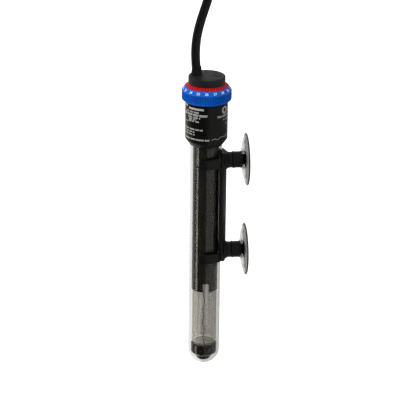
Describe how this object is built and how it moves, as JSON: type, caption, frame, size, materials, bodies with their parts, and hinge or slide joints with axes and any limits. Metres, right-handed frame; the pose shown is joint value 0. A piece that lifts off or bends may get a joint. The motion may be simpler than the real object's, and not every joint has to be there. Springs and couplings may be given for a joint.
{
  "type": "submersible aquarium heater",
  "caption": "Tubular glass submersible heater with a ribbed temperature dial, calibration ring, slide-on holder with suction cups, and a mains lead folded into a tied hank.",
  "frame": {"origin": "centre of the footprint of the heater without its lead, on the surface that the suction cups rest on", "axes": "+X along the tube towards the head, +Z away from the surface that the cups are stuck to"},
  "size_m": [0.4855, 0.0651, 0.0516],
  "materials": {
    "glass": "clear drawn glass",
    "housing_black": "moulded, satin",
    "label_black": "printed film",
    "cap_black": "moulded, matt",
    "dial_blue": "moulded, satin",
    "ring_red": "moulded, satin",
    "rubber_black": "moulded rubber",
    "holder_black": "moulded, satin",
    "cup_clear": "clear soft vinyl",
    "sleeve_grey": "smooth sheet",
    "former_cream": "smooth ceramic",
    "winding": "fine resistance wire",
    "end_black": "moulded, matt",
    "steel": "bright",
    "brass": "bright",
    "copper": "spring copper alloy",
    "board_brown": "laminate board",
    "lamp_orange": "small glass lamp",
    "wire_brown": "insulated wire",
    "wire_blue": "insulated wire",
    "cord_black": "smooth rubber sheath",
    "tie_black": "woven hook and loop band",
    "plug_black": "moulded, satin"
  },
  "bodies": {
    "heater": {"glass_tube": "glass", "head_housing": "housing_black", "label_wrap": "label_black", "tube_seal": "rubber_black", "seal_follower": "steel", "head_core": "housing_black", "spindle_seal": "rubber_black", "top_cap": "cap_black", "cord_gland": "rubber_black", "dial_washer": "former_cream", "thermostat_frame": "board_brown", "contact_blade": "copper", "fixed_contact": "brass", "magnet": "steel", "neon_lamp": "lamp_orange", "capacitor": "wire_blue", "lead_live": "wire_brown", "lead_neutral": "wire_blue", "heat_sleeve": "sleeve_grey", "heating_former": "former_cream", "heating_winding": "winding", "upper_former_cap": "former_cream", "return_wire": "steel", "supply_wire": "steel", "end_cap": "end_black", "buffer_foot": "rubber_black", "cord_lead": "cord_black", "cord_hank": "cord_black", "cord_tail": "cord_black", "cord_tie": "tie_black", "plug_body": "plug_black", "plug_blade_1": "brass", "plug_blade_2": "brass"},
    "dial": {"temperature_dial": "dial_blue"},
    "calibration": {"calibration_ring": "ring_red"},
    "spindle": {"adjusting_spindle": "brass"},
    "slider": {"adjuster_slider": "former_cream"},
    "bimetal": {"bimetal_blade": "steel", "moving_contact": "brass"},
    "holder": {"tube_holder": "holder_black"},
    "lower_cup": {"cup_arm_lower": "holder_black", "suction_cup_lower": "cup_clear"},
    "upper_cup": {"cup_arm_upper": "holder_black", "suction_cup_upper": "cup_clear"}
  },
  "joints": [
    {"name": "dial_turn", "type": "hinge", "parent": "heater", "child": "dial", "pos_m": [0.1058, 0, 0.0323], "axis": [1, 0, 0], "range_deg": [-160, 160]},
    {"name": "calibration_turn", "type": "hinge", "parent": "dial", "child": "calibration", "pos_m": [0.1117, 0, 0.0323], "axis": [1, 0, 0], "range_deg": [-30, 30]},
    {"name": "spindle_turn", "type": "hinge", "parent": "heater", "child": "spindle", "pos_m": [0.1047, 0, 0.0248], "axis": [1, 0, 0], "range_deg": [-322, 322]},
    {"name": "slider_travel", "type": "slide", "parent": "heater", "child": "slider", "axis": [1, 0, 0], "range_m": [-0.0007, 0.0007]},
    {"name": "bimetal_flex", "type": "hinge", "parent": "heater", "child": "bimetal", "pos_m": [0.0018, 0, 0.0354], "axis": [0, -1, 0], "range_deg": [0, 1.2], "stiffness_Nm_per_rad": 0.1, "springref_deg": -1.15},
    {"name": "holder_slide", "type": "slide", "parent": "heater", "child": "holder", "axis": [1, 0, 0], "range_m": [-0.07, 0.006]},
    {"name": "lower_cup_spin", "type": "hinge", "parent": "holder", "child": "lower_cup", "pos_m": [-0.0254, 0, 0.01], "axis": [0, 0, -1], "continuous": true},
    {"name": "upper_cup_spin", "type": "hinge", "parent": "holder", "child": "upper_cup", "pos_m": [0.0505, 0, 0.01], "axis": [0, 0, -1], "continuous": true}
  ],
  "couplings": [
    {"joint": "spindle_turn", "follows": "dial_turn", "ratio": 2},
    {"joint": "slider_travel", "follows": "dial_turn", "m_per_rad": 0.00023873}
  ]
}
